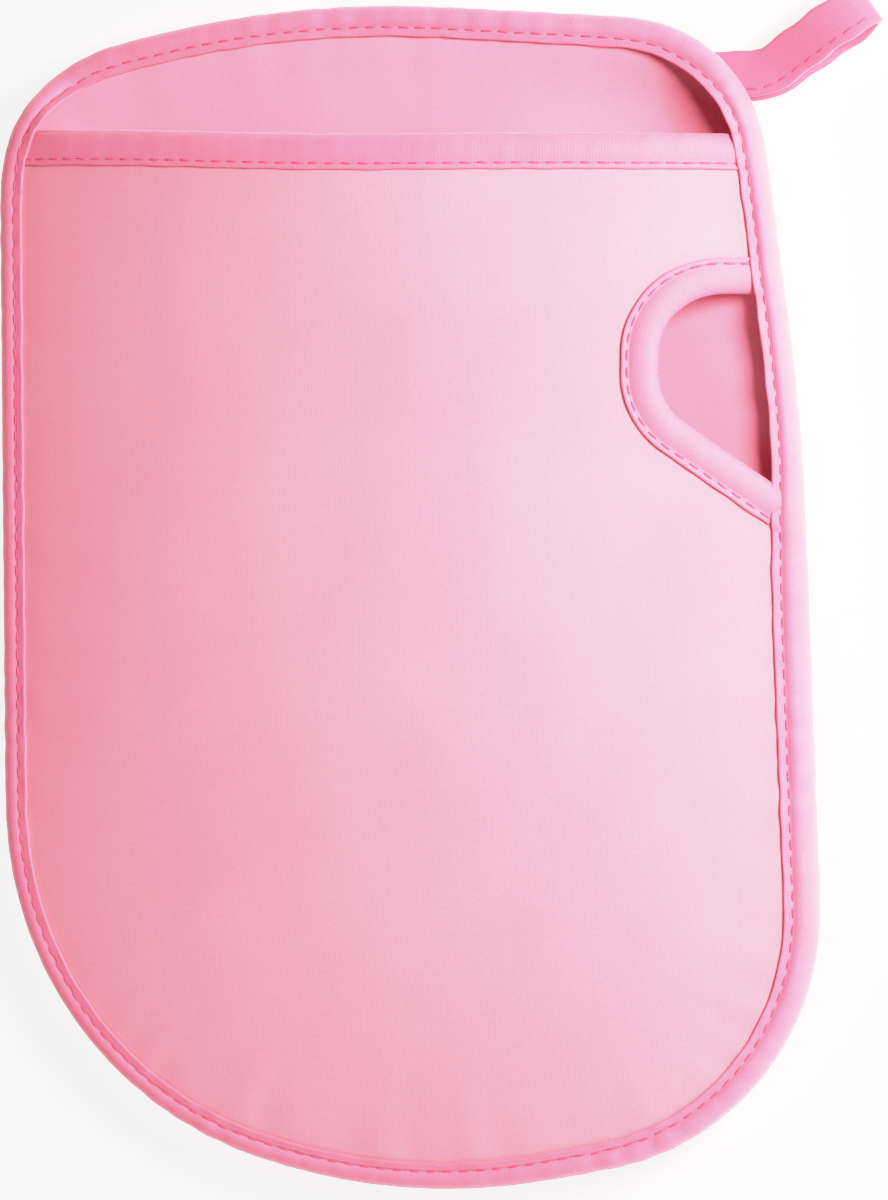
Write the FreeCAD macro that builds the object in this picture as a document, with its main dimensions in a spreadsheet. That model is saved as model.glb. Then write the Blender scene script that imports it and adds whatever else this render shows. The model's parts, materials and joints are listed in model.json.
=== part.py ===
import FreeCAD, Part
import math
import os

import Sketcher
from FreeCAD import Placement, Rotation, Vector

# Bath mitt, lying on its back on a flat surface.
# Frame: origin on the surface under the middle of the mitt, +Y towards the open mouth,
# +X towards the thumb opening, +Z up through the front panel. Millimetres.

# Driving dimensions: spreadsheet alias, value.
DIMENSIONS = [
    # Corners of the sewn outline, anticlockwise from the left shoulder, each with its rounding.
    ("shoulder_left_x", -77.4), ("shoulder_left_y", 98.0), ("shoulder_left_round", 28.0),
    ("heel_left_x", -75.7), ("heel_left_y", -88.8), ("heel_left_round", 68.5),
    ("toe_x", 0.7), ("toe_y", -110.5), ("toe_round", 109.0),
    ("heel_right_x", 78.2), ("heel_right_y", -96.1), ("heel_right_round", 48.0),
    ("side_bow_x", 73.4), ("side_bow_y", 31.2), ("side_bow_round", 406.0),
    ("shoulder_right_x", 63.6), ("shoulder_right_y", 105.5), ("shoulder_right_round", 28.0),
    ("crown_x", -22.0), ("crown_y", 111.2), ("crown_round", 190.0),
    # Thumb notch cut into the front panel's right-hand side, open to the right.
    ("thumb_left_x", 48.6), ("thumb_top_y", 56.0), ("thumb_top_round", 10.0),
    ("thumb_low_y", 35.4), ("thumb_low_round", 11.0),
    ("thumb_mouth_x", 90.0), ("thumb_mouth_y", 3.3),
    # Layers of the two padded panels and the clearance left between layers.
    ("face_thick", 0.4), ("foam_thick", 1.5), ("lining_thick", 0.35), ("layer_gap", 0.05),
    # Heights: the sewn seam, the space left between the panels there, the front panel's crown
    # above it, and how far the ground presses into the back panel's flat underside.
    ("seam_height", 9.0), ("seam_gap", 0.5), ("front_rise", 15.0), ("front_reach", 68.0),
    ("back_reach", 32.0), ("ground_press", 0.2),
    # Bindings.
    ("tape_thick", 0.7), ("edge_tape_width", 7.0), ("hem_tape_width", 6.2), ("mouth_y", 85.4),
    # Hanging loop: a tape folded in two, lying flat at its root and open towards its tip.
    ("loop_x", 63.15), ("loop_y", 96.8), ("loop_turn", 30.0), ("loop_tilt", 5.0),
    ("loop_width", 9.5), ("loop_ply", 1.4), ("loop_length", 29.0), ("loop_belly", 4.4),
    ("loop_root_length", 8.5), ("loop_belly_start", 16.0), ("loop_tip_round", 4.0),
    ("loop_stand_off", 2.1), ("loop_tab_length", 5.0),
    # Stitches.
    ("stitch_pitch", 4.0), ("stitch_length", 2.8), ("stitch_width", 0.45), ("stitch_height", 0.25),
    ("stitch_lift", 0.15),
    ("edge_stitch_inset", 5.2), ("hem_stitch_inset", 4.6),
    ("loop_stitch_pitch", 3.0), ("loop_edge_stitch_inset", 1.9), ("tack_stitches", 3),
]

DRAPE_STEP = 7.0        # spacing of the points that a panel's curved surface passes through
DRAPE_MARGIN = 14.0     # how far that surface runs past the outline
BLANK_HEIGHT = 60.0     # height of the prisms that panels are cut with
SIDE_REACH = 200.0      # how far the open mouth's cutting shapes run

doc = FreeCAD.newDocument("bath_mitt")


# ---------------------------------------------------------------- spreadsheet and helpers

def make_sheet():
    """Spreadsheet with one aliased cell for each driving dimension."""
    sheet = doc.addObject("Spreadsheet::Sheet", "sizes")
    for row, (alias, value) in enumerate(DIMENSIONS, start=1):
        sheet.set(f"A{row}", alias)
        sheet.set(f"B{row}", str(value))
        sheet.setAlias(f"B{row}", alias)
    doc.recompute()
    return sheet


def size(alias):
    """Value of one driving dimension, read from the sheet."""
    return float(sheet.get(alias))


def bind(obj, **expressions):
    """Bind an object's properties to expressions over the sheet's cells."""
    for prop, expression in expressions.items():
        obj.setExpression(prop.replace("__", "."), expression)


def rounded_sketch(name, corners):
    """Closed sketch round the corners, anticlockwise, as straight runs joined by tangent arcs.

    A corner is (x, y, round), each an expression over the sheet; round None leaves it sharp.
    """
    sketch = doc.addObject("Sketcher::SketchObject", name)
    probe = doc.addObject("App::FeaturePython", name + "_probe")
    probe.addProperty("App::PropertyFloat", "Value")

    def value(expression):
        probe.setExpression("Value", expression)
        doc.recompute([probe])
        return probe.Value

    points = [Vector(value(x), value(y), 0) for x, y, _ in corners]
    rounds = [value(r) if r else 0.0 for _, _, r in corners]
    doc.removeObject(probe.Name)
    count = len(corners)

    def trim(index):
        """Length of the straight run that a corner's arc takes up on each side."""
        before = (points[index - 1] - points[index]).normalize()
        after = (points[(index + 1) % count] - points[index]).normalize()
        return rounds[index] / math.tan(before.getAngle(after) / 2)

    lines = []
    for index in range(count):
        start, end = points[index - 1], points[index]
        along = (end - start).normalize()
        first = start + along * trim(index - 1)
        last = end - along * trim(index)
        lines.append(sketch.addGeometry(Part.LineSegment(first, last), False))
    for index, (x, y, r) in enumerate(corners):
        line_in, line_out = lines[index], lines[(index + 1) % count]
        if r is None:
            sketch.addConstraint(Sketcher.Constraint("Coincident", line_in, 2, line_out, 1))
            corner, corner_point = line_in, 2
        else:
            begin = sketch.Geometry[line_in].EndPoint
            finish = sketch.Geometry[line_out].StartPoint
            along = (begin - sketch.Geometry[line_in].StartPoint).normalize()
            side = Vector(-along.y, along.x, 0)
            turns_left = side.dot(finish - begin) > 0
            centre = begin + side * (rounds[index] if turns_left else -rounds[index])
            ends = (begin, finish) if turns_left else (finish, begin)
            angles = [math.atan2(end.y - centre.y, end.x - centre.x) for end in ends]
            circle = Part.Circle(centre, Vector(0, 0, 1), rounds[index])
            arc = sketch.addGeometry(Part.ArcOfCircle(circle, *angles), False)
            arc_in, arc_out = (1, 2) if turns_left else (2, 1)
            sketch.addConstraint(Sketcher.Constraint("Tangent", line_in, 2, arc, arc_in))
            sketch.addConstraint(Sketcher.Constraint("Tangent", arc, arc_out, line_out, 1))
            radius = sketch.addConstraint(Sketcher.Constraint("Radius", arc, rounds[index]))
            sketch.setExpression(f"Constraints[{radius}]", r)
            corner = sketch.addGeometry(Part.Point(points[index]), True)
            corner_point = 1
            sketch.addConstraint(Sketcher.Constraint("PointOnObject", corner, 1, line_in))
            sketch.addConstraint(Sketcher.Constraint("PointOnObject", corner, 1, line_out))
        for kind, expression, place in (("DistanceX", x, points[index].x), ("DistanceY", y, points[index].y)):
            rule = Sketcher.Constraint(kind, -1, 1, corner, corner_point, place)
            number = sketch.addConstraint(rule)
            sketch.setExpression(f"Constraints[{number}]", expression)
    doc.recompute()
    return sketch


def flat_face(name, sketch):
    """Flat face filling a closed sketch."""
    face = doc.addObject("Part::Face", name)
    face.Sources = [sketch]
    return face


def offset_outline(name, source, expression):
    """The source face grown by an expression, or shrunk where it is negative."""
    outline = doc.addObject("Part::Offset2D", name)
    outline.Source = source
    outline.Mode = "Skin"
    outline.Join = "Arc"
    bind(outline, Value=expression)
    return outline


def prism(name, outline, bottom, top):
    """Solid over a flat outline between two heights."""
    solid = doc.addObject("Part::Extrusion", name)
    solid.Base = outline
    solid.DirMode = "Custom"
    solid.Dir = Vector(0, 0, 1)
    solid.Solid = True
    bind(solid, LengthFwd=top, LengthRev=f"-({bottom})")
    return solid


def boolean(kind, name, base, tool):
    """Part::Cut, Part::Common or Part::Fuse of two objects."""
    result = doc.addObject(f"Part::{kind}", name)
    result.Base = base
    result.Tool = tool
    return result


sheet = make_sheet()


# ---------------------------------------------------------------- outlines

OUTLINE_CORNERS = ["shoulder_left", "heel_left", "toe", "heel_right", "side_bow", "shoulder_right", "crown"]


def outline_corner(stem):
    """Corner entry of rounded_sketch for one stem of the sheet's outline cells."""
    return (f"sizes.{stem}_x", f"sizes.{stem}_y", f"sizes.{stem}_round")


def make_outlines():
    """Faces inside the sewn outline of the mitt and inside its thumb notch."""
    outline = rounded_sketch("outline", [outline_corner(stem) for stem in OUTLINE_CORNERS])
    notch = rounded_sketch("thumb_notch", [
        ("sizes.thumb_mouth_x", "sizes.thumb_top_y", None),
        ("sizes.thumb_left_x", "sizes.thumb_top_y", "sizes.thumb_top_round"),
        ("sizes.thumb_left_x", "sizes.thumb_low_y", "sizes.thumb_low_round"),
        ("sizes.thumb_mouth_x", "sizes.thumb_mouth_y", None),
    ])
    doc.recompute()
    return flat_face("outline_face", outline), flat_face("notch_face", notch)


# ---------------------------------------------------------------- curved panels

def stack_height():
    """Thickness of one panel: face cloth, foam and lining with the gaps between them."""
    return size("face_thick") + size("foam_thick") + size("lining_thick") + 2 * size("layer_gap")


def make_drapes(outline):
    """Undersides of the front and back panels as surfaces through a grid of points.

    Each is level under the edge binding. Inside it the front panel rises to its crown, right up
    to its open mouth, and the back panel sinks to the ground, where it lies flat.
    """
    edges = outline.Shape.Edges
    back_seam = Part.Wire(Part.__sortEdges__(edges))
    heel = [edge for edge in edges if edge.CenterOfMass.y < size("side_bow_y")]
    heel_left, heel_right = run_ends(heel)
    bow = Vector(size("side_bow_x"), size("side_bow_y"), 0)
    shoulder = Vector(size("shoulder_right_x"), size("shoulder_right_y"), 0)
    mouth_left = Vector(size("shoulder_left_x"), SIDE_REACH, 0)
    mouth_right = bow + (shoulder - bow).normalize() * SIDE_REACH
    sides = Part.makePolygon([heel_left, mouth_left, mouth_right, bow, heel_right]).Edges
    front_seam = Part.Wire(Part.__sortEdges__(heel + sides))
    front_level = size("seam_height") + size("seam_gap") / 2
    back_level = size("seam_height") - size("seam_gap") / 2 - stack_height()
    depth = back_level + size("ground_press")

    def inset(seam, x, y):
        """How far inside the edge binding's inner line a point of the panel lies, or 0."""
        if not Part.Face(seam).isInside(Vector(x, y, 0), 0.01, True):
            return 0.0
        return max(seam.distToShape(Part.Vertex(x, y, 0))[0] - size("edge_tape_width"), 0.0)

    def front_height(x, y):
        """The front panel rises like a pillow."""
        slack = 1 - min(inset(front_seam, x, y) / size("front_reach"), 1.0)
        return front_level + size("front_rise") * (1 - slack * slack) ** 1.5

    def back_height(x, y):
        """The back panel sinks to the ground with level ends to its slope."""
        part = min(inset(back_seam, x, y) / size("back_reach"), 1.0)
        return back_level - depth * part * part * (3 - 2 * part)

    box = outline.Shape.BoundBox
    box.enlarge(DRAPE_MARGIN)
    columns = int(box.XLength / DRAPE_STEP)
    rows = int(box.YLength / DRAPE_STEP)
    drapes = []
    for name, height in (("front_drape", front_height), ("back_drape", back_height)):
        grid = []
        for column in range(columns + 1):
            x = box.XMin + box.XLength * column / columns
            ys = [box.YMin + box.YLength * row / rows for row in range(rows + 1)]
            grid.append([Vector(x, y, height(x, y)) for y in ys])
        surface = Part.BSplineSurface()
        surface.interpolate(grid)
        drape = doc.addObject("Part::Feature", name)
        drape.Shape = surface.toShape()
        drapes.append(drape)
    return drapes


def run_ends(edges):
    """Left and right upper ends of the run of edges round the foot of the mitt."""
    points = [vertex.Point for edge in edges for vertex in edge.Vertexes]
    left = max((p for p in points if p.x < 0), key=lambda p: p.y)
    right = max((p for p in points if p.x > 0), key=lambda p: p.y)
    return left, right


def block_above(name, y_expression):
    """Box that fills everything further up than a given y."""
    block = doc.addObject("Part::Box", name)
    block.Length = 2 * SIDE_REACH
    block.Width = SIDE_REACH
    block.Height = BLANK_HEIGHT
    bind(block, Placement__Base__x=f"{-SIDE_REACH}", Placement__Base__y=y_expression,
         Placement__Base__z=f"{-BLANK_HEIGHT / 4}")
    return block


# ---------------------------------------------------------------- heights, as sheet expressions

GAP = "sizes.layer_gap"
TAPE = "sizes.tape_thick"
STACK = "sizes.face_thick + sizes.foam_thick + sizes.lining_thick + 2 * sizes.layer_gap"

# Bottom and top of each layer above its panel's drape.
FRONT_LAYERS = {
    "front_lining": ("0", "sizes.lining_thick"),
    "front_foam": (f"sizes.lining_thick + {GAP}", f"sizes.lining_thick + sizes.foam_thick + {GAP}"),
    "front_face": (f"sizes.lining_thick + sizes.foam_thick + 2 * {GAP}", STACK),
}
BACK_LAYERS = {
    "back_face": ("0", "sizes.face_thick"),
    "back_foam": (f"sizes.face_thick + {GAP}", f"sizes.face_thick + sizes.foam_thick + {GAP}"),
    "back_lining": (f"sizes.face_thick + sizes.foam_thick + 2 * {GAP}", STACK),
}
RIM_TOP = f"sizes.seam_height + sizes.seam_gap / 2 + {STACK} + 3 * {GAP}"       # underside of the upper tape
RIM_BOTTOM = f"sizes.seam_height - sizes.seam_gap / 2 - ({STACK}) - 3 * {GAP}"  # top of the lower tape
BLANK = (f"{-BLANK_HEIGHT / 4}", f"{BLANK_HEIGHT}")


# ---------------------------------------------------------------- panels and bindings

def make_panels(outline, notch, front_drape, back_drape):
    """Face cloth, foam and lining of each panel, cut to the channels of their bindings."""
    seat = offset_outline("panel_edge", outline, f"-({TAPE} + {GAP})")
    back_blank = prism("back_blank", seat, *BLANK)
    above_mouth = block_above("above_mouth", f"sizes.mouth_y - {TAPE} - {GAP}")
    notch_edge = offset_outline("notch_edge", notch, f"{TAPE} + {GAP}")
    front_blank = boolean("Cut", "front_blank_open", back_blank, above_mouth)
    front_blank = boolean("Cut", "front_blank", front_blank, prism("notch_cutter", notch_edge, *BLANK))
    panels = []
    for layers, drape, blank in (
        (FRONT_LAYERS, front_drape, front_blank),
        (BACK_LAYERS, back_drape, back_blank),
    ):
        for name, (bottom, top) in layers.items():
            slab = prism(name + "_cloth", drape, bottom, top)
            if name == "back_face":
                slab = boolean("Cut", "back_face_standing", slab, make_ground())
            panels.append(boolean("Common", name, slab, blank))
    return panels


def make_ground():
    """Block under the surface that the mitt rests on, which presses its underside flat."""
    ground = doc.addObject("Part::Box", "ground")
    ground.Length = ground.Width = 2 * SIDE_REACH
    ground.Height = BLANK_HEIGHT
    ground.Placement.Base = Vector(-SIDE_REACH, -SIDE_REACH, -BLANK_HEIGHT)
    return ground


def make_edge_binding(outline):
    """Tape folded round the sewn edge: an upper ply, a lower ply and the fold outside."""
    inner = offset_outline("edge_tape_line", outline, "-sizes.edge_tape_width")
    channel = offset_outline("edge_channel", outline, f"-{TAPE}")
    whole = prism("edge_tape_whole", outline, f"{RIM_BOTTOM} - {TAPE}", f"{RIM_TOP} + {TAPE}")
    hollow = prism("edge_tape_hollow", channel, RIM_BOTTOM, RIM_TOP)
    window = prism("edge_tape_window", inner, *BLANK)
    folded = boolean("Cut", "edge_tape_folded", whole, hollow)
    return boolean("Cut", "edge_binding", folded, window), inner


def hem_tape(name, drape, region, seat_region, back_space):
    """Tape folded over a free edge of the front panel, following its curve.

    It fills the region but for the space of the panel's own layers, which end at seat_region,
    and its lower ply ends where the two panels come together.
    """
    wrap = prism(name + "_wrap", drape, f"-({TAPE} + {GAP})", f"{STACK} + {GAP} + {TAPE}")
    plies = boolean("Common", name + "_plies", wrap, region)
    layers = prism(name + "_layers", drape, f"-{GAP}", f"{STACK} + {GAP}")
    seat = boolean("Common", name + "_seat", layers, seat_region)
    folded = boolean("Cut", name + "_folded", plies, seat)
    return boolean("Cut", name, folded, back_space)


def make_hem_bindings(inner, notch, drape, back_drape):
    """Tapes along the mouth of the front panel and round its thumb notch."""
    back_space = prism("back_space", back_drape, "0", f"{STACK} + {TAPE}")
    field = offset_outline("hem_field", inner, f"-{GAP}")
    field = prism("hem_blank", field, *BLANK)
    above_hem = block_above("above_hem", "sizes.mouth_y - sizes.hem_tape_width")
    past_mouth = block_above("past_mouth", "sizes.mouth_y")
    past_seat = block_above("past_seat", f"sizes.mouth_y - {TAPE}")
    strip = boolean("Cut", "mouth_strip", boolean("Common", "mouth_part", field, above_hem), past_mouth)
    strip_seat = boolean("Cut", "mouth_strip_seat", strip, past_seat)
    mouth = hem_tape("mouth_binding", drape, strip, strip_seat, back_space)

    wide = prism("notch_wide", offset_outline("notch_tape_line", notch, "sizes.hem_tape_width"), *BLANK)
    hole = prism("notch_hole", notch, *BLANK)
    wall = prism("notch_wall", offset_outline("notch_channel", notch, TAPE), *BLANK)
    ring = boolean("Cut", "notch_ring", boolean("Common", "notch_part", field, wide), hole)
    ring_seat = boolean("Cut", "notch_ring_seat", ring, wall)
    thumb = hem_tape("thumb_binding", drape, ring, ring_seat, back_space)
    return mouth, thumb


# ---------------------------------------------------------------- hanging loop

def rim_half():
    """Height from the seam to the inside of either ply of the edge binding."""
    return size("seam_gap") / 2 + stack_height() + 3 * size("layer_gap")


def loop_placement():
    """The loop's own frame at its root: X out along the tape, Y up, Z across its width."""
    under_rim = size("seam_height") - rim_half() - size("tape_thick")
    turn = Rotation(Vector(0, 0, 1), size("loop_turn"))
    tilt = Rotation(Vector(0, 1, 0), -size("loop_tilt"))
    stand = Rotation(Vector(1, 0, 0), 90)
    root = Vector(size("loop_x"), size("loop_y"), under_rim - size("loop_ply") - size("layer_gap"))
    return Placement(root, turn * tilt * stand)


def make_loop(placement):
    """Tape folded in two: the plies lie together at the root and part towards the tip."""
    ply, belly, bend = "sizes.loop_ply", "sizes.loop_belly", "sizes.loop_root_length"
    inner_end = f"sizes.loop_length - {ply}"
    half_side = [
        (f"-{ply} * 0.98", ply, f"{ply} * 0.95"),
        (bend, ply, bend),
        ("sizes.loop_belly_start", belly, bend),
        ("sizes.loop_length", belly, "sizes.loop_tip_round"),
    ]
    half_eye = [
        ("sizes.loop_belly_start", f"{belly} - {ply}", f"{bend} / 2"),
        (inner_end, f"{belly} - {ply}", f"sizes.loop_tip_round - {ply}"),
    ]
    side = rounded_sketch("loop_side", mirrored(half_side) + half_side[::-1])
    eye = rounded_sketch("loop_eye", [(bend, "0", None)] + mirrored(half_eye) + half_eye[::-1])
    solids = []
    for sketch in (side, eye):
        sketch.Placement = placement
        solid = doc.addObject("Part::Extrusion", sketch.Name + "_solid")
        solid.Base = sketch
        solid.DirMode = "Normal"
        solid.Solid = True
        solid.Symmetric = True
        bind(solid, LengthFwd="sizes.loop_width")
        solids.append(solid)
    return boolean("Cut", "hanging_loop", *solids), side


def mirrored(corners):
    """The corners' mirror images below the X axis, in the same order."""
    return [(x, f"-({y})", bend) for x, y, bend in corners]


def make_loop_tab():
    """The loop's two sewn ends, under the edge binding's lower ply."""
    tab = doc.addObject("Part::Box", "loop_tab")
    bind(tab, Length="sizes.loop_tab_length", Width="sizes.loop_width", Height="2 * sizes.loop_ply")
    place = loop_placement()
    turn = Rotation(Vector(0, 0, 1), size("loop_turn"))
    back = size("loop_stand_off") + size("loop_tab_length")
    corner = turn.multVec(Vector(-back, -size("loop_width") / 2, -size("loop_ply")))
    tab.Placement = Placement(place.Base + corner, turn)
    return tab


# ---------------------------------------------------------------- stitches

def stitch(point, along, up):
    """One straight stitch lying on a surface whose outward normal is up."""
    length, width, height = size("stitch_length"), size("stitch_width"), size("stitch_height")
    thread = Part.makeBox(length, width, height, Vector(-length / 2, -width / 2, size("stitch_lift")))
    thread.Placement = Placement(point, Rotation(along, up.cross(along), up, "XZY"))
    return thread


def stitch_row(name, points, up):
    """One stitch between each two points of a row, as one group of separate solids.

    A stitch is left out where another piece lies against the tape: the loop's tab under the rim,
    and the back panel under the ends of the front panel's tapes.
    """
    tab = loop_placement().Base
    threads = []
    for start, end in zip(points, points[1:]):
        middle = (start + end) / 2
        on_tab = Vector(middle.x - tab.x, middle.y - tab.y, 0).Length < size("loop_width")
        under_hem = size("seam_height") - rim_half() < middle.z < size("seam_height")
        if up.z < 0 and (on_tab or under_hem):
            continue
        along = (end - start).normalize()
        square_up = (up - along * up.dot(along)).normalize()
        threads.append(stitch(middle, along, square_up))
    row = doc.addObject("Part::Feature", name)
    row.Shape = Part.Compound(threads)
    return row


def evenly(wire):
    """Points along a wire, one stitch pitch apart."""
    count = round(wire.Length / size("stitch_pitch"))
    return wire.discretize(Number=count + 1)


def on_drape(drape, points, height):
    """Flat points lifted onto a panel's curved underside and then by a height."""
    lifted = []
    for point in points:
        post = Part.makeLine(Vector(point.x, point.y, -BLANK_HEIGHT), Vector(point.x, point.y, BLANK_HEIGHT))
        nearest_pairs = post.distToShape(drape.Shape)[1]
        lifted.append(nearest_pairs[0][0] + Vector(0, 0, height))
    return lifted


def paired_rows(stem, points_above, points_below):
    """Needle thread over a seam and bobbin thread under it."""
    return [
        stitch_row(stem + "_needle_thread", points_above, Vector(0, 0, 1)),
        stitch_row(stem + "_bobbin_thread", points_below, Vector(0, 0, -1)),
    ]


def make_seam_stitches(outline, notch, inner, drape):
    """Rows through the edge binding and through the mouth and thumb tapes."""
    tape, gap = size("tape_thick"), size("layer_gap")
    edge_line = evenly(outline.Shape.makeOffset2D(-size("edge_stitch_inset")).OuterWire)
    above = Vector(0, 0, size("seam_height") + rim_half() + tape)
    below = Vector(0, 0, size("seam_height") - rim_half() - tape)
    rows = paired_rows("edge_seam", [p + above for p in edge_line], [p + below for p in edge_line])

    over, under = stack_height() + gap + tape, -gap - tape
    field = inner.Shape.makeOffset2D(-size("stitch_length"))
    mouth_y = size("mouth_y") - size("hem_stitch_inset")
    mouth_line = Part.makeLine(Vector(-SIDE_REACH, mouth_y, 0), Vector(SIDE_REACH, mouth_y, 0))
    thumb_line = notch.Shape.makeOffset2D(size("hem_stitch_inset")).OuterWire
    for stem, line in (("mouth_seam", mouth_line), ("thumb_seam", thumb_line)):
        run = Part.Wire(Part.__sortEdges__(line.common(field).Edges))
        flat = evenly(run)
        rows += paired_rows(stem, on_drape(drape, flat, over), on_drape(drape, flat, under))
    return rows


def make_loop_stitches(side, placement):
    """Row along the tape's edge on both plies of the loop."""
    path = Part.Wire(Part.__sortEdges__(side.Shape.Edges))
    local = placement.inverse()
    away = placement.Rotation.multVec(Vector(0, 0, 1))
    lift = away * (size("loop_width") / 2 - size("loop_edge_stitch_inset"))
    pitch = size("loop_stitch_pitch")
    points = path.discretize(Number=round(path.Length / pitch) + 1)
    threads = []
    for start, end in zip(points, points[1:]):
        middle = local.multVec((start + end) / 2)
        clear_of_root = middle.x > size("loop_ply")
        clear_of_tip = middle.x < size("loop_length") - size("loop_tip_round")
        if not (clear_of_root and clear_of_tip):
            continue
        along = (end - start).normalize()
        up = along.cross(away)
        threads.append(stitch((start + end) / 2 + lift, along, up))
    row = doc.addObject("Part::Feature", "loop_stitching")
    row.Shape = Part.Compound(threads)
    return row


def make_loop_tack():
    """Stitches across the loop's sewn ends, on the underside of the tab."""
    place = loop_placement()
    turn = Rotation(Vector(0, 0, 1), size("loop_turn"))
    along = turn.multVec(Vector(0, 1, 0))
    inwards = turn.multVec(Vector(-1, 0, 0))
    middle = place.Base + inwards * (size("loop_stand_off") + size("loop_tab_length") / 2)
    middle = middle - Vector(0, 0, size("loop_ply"))
    count = int(size("tack_stitches"))
    spacing = size("loop_width") / count
    threads = []
    for number in range(count):
        step = (number - (count - 1) / 2) * spacing
        threads.append(stitch(middle + along * step, along, Vector(0, 0, -1)))
    row = doc.addObject("Part::Feature", "loop_tack_stitches")
    row.Shape = Part.Compound(threads)
    return row


# ---------------------------------------------------------------- the whole mitt

def make_mitt():
    """Every sub-part of the mitt, each an object whose name is its node's name."""
    outline, notch = make_outlines()
    doc.recompute()
    front_drape, back_drape = make_drapes(outline)
    panels = make_panels(outline, notch, front_drape, back_drape)
    edge, inner = make_edge_binding(outline)
    mouth, thumb = make_hem_bindings(inner, notch, front_drape, back_drape)
    placement = loop_placement()
    loop, loop_side = make_loop(placement)
    tab = make_loop_tab()
    doc.recompute()
    stitches = make_seam_stitches(outline, notch, inner, front_drape)
    stitches.append(make_loop_stitches(loop_side, placement))
    stitches.append(make_loop_tack())
    doc.recompute()
    return panels + [edge, mouth, thumb, loop, tab] + stitches


def check(nodes):
    """Stop if any object failed to compute, or if a sub-part is empty or not valid."""
    for obj in doc.Objects:
        if "Invalid" in obj.State or "Error" in obj.State:
            raise RuntimeError(f"{obj.Name} failed: {obj.State}")
    for node in nodes:
        shape = node.Shape
        if shape.isNull() or not shape.isValid() or not shape.Solids:
            raise RuntimeError(f"{node.Label} has no valid solid")


def write(nodes):
    """One STEP file for each sub-part, named after it."""
    os.makedirs("parts", exist_ok=True)
    for node in nodes:
        node.Shape.exportStep(f"parts/{node.Label}.step")
        print(f"{node.Label}: {len(node.Shape.Solids)} solid(s), {node.Shape.Volume:.0f} mm3")


mitt = make_mitt()
check(mitt)
write(mitt)
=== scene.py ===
import json
import math

import bpy
import numpy as np
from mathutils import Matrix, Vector


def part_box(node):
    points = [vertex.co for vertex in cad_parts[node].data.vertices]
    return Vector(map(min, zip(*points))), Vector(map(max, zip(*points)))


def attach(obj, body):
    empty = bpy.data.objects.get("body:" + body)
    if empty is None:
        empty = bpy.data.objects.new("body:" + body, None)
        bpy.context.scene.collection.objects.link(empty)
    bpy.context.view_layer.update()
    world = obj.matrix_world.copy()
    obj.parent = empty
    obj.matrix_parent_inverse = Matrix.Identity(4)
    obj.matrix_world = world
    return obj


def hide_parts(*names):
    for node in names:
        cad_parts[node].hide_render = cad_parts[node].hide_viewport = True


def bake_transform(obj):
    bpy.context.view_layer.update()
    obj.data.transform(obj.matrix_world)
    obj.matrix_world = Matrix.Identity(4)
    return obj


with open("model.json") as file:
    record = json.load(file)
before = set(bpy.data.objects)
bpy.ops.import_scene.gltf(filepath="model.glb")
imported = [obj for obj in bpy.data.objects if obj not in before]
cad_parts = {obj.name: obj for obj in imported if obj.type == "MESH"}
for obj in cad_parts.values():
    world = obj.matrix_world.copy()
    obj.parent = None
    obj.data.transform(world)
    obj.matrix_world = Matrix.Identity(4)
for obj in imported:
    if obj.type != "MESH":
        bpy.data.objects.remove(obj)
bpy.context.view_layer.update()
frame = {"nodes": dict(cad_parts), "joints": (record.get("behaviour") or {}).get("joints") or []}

# Bath mitt of padded pink cloth, lying on its back: two padded panels sewn together inside a
# folded edge tape, with taped edges at the mouth and the thumb opening, and a folded tape loop.
# Lengths are in metres; MM turns millimetres into metres. The frame is +Z up, with +Y towards
# the mouth and +X towards the thumb opening and the loop.

MM = 0.001

# Layers of a panel, from the pocket outwards, and the clearance between layers.
LINING = 0.35 * MM
FOAM = 1.5 * MM
FACE = 0.4 * MM
LAYER_GAP = 0.05 * MM
STACK = LINING + FOAM + FACE + 2 * LAYER_GAP

# Tapes.
TAPE = 0.65 * MM            # thickness of one ply
TAPE_STEP = 0.8 * MM        # spacing of the points along a taped edge
FLANGE = 1.35 * MM          # flat part of an edge tape between its stitch line and its inner edge
HEM_WIDTH = 6.3 * MM        # tape along the mouth and round the thumb opening
HEM_FLANGE = 0.8 * MM
HEM_RIDGE = 0.35 * MM       # how far a hem's roll stands above and below its stitch lines
HEM_END = 1.6 * MM          # a hem ends this far inside the outline, under the edge tape

# Sewing.
STITCH_PITCH = 3.1 * MM
STITCH_LENGTH = 2.35 * MM
THREAD = 0.19 * MM          # radius of the sewing thread
TACK_PITCH = 2.6 * MM       # stitches that hold the loop's ends

# Loop of folded tape.
LOOP_TAPE = 1.25 * MM
LOOP_WIDTH = 8.6 * MM
LOOP_ROOT = 9.0 * MM        # length sewn in under the edge tape, measured back from the hinge
LOOP_TURN = math.radians(34)
LOOP_TURN_FROM = -1.0 * MM  # the loop turns between these reaches, measured out from the hinge
LOOP_TURN_TO = 6.5 * MM
LOOP_TILT = math.radians(5)
LOOP_REACH = 26.2 * MM      # from the hinge to the tip
LOOP_BELLY = 2.9 * MM       # half the opening between the two legs at its widest
LOOP_DROP = 0.8 * MM        # the tape's middle line passes the hinge this far to its -Y side
LOOP_ROW_INSET = 1.9 * MM   # from the tape's edge to its row of stitches
LOOP_ROW_FROM = -1.5 * MM
LOOP_ROW_TO = LOOP_REACH - 1.8 * MM

# Places that the frame gives.
rim_low, rim_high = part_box("edge_binding")
thumb_low, thumb_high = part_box("thumb_binding")
mouth_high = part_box("mouth_binding")[1]
SEAM_Z = (rim_low.z + rim_high.z) / 2
SEAM_GAP = 0.3 * MM         # space between the two panels where they are sewn
MOUTH_Y = mouth_high.y
FRONT_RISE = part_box("front_lining")[1].z - LINING - SEAM_Z


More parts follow.
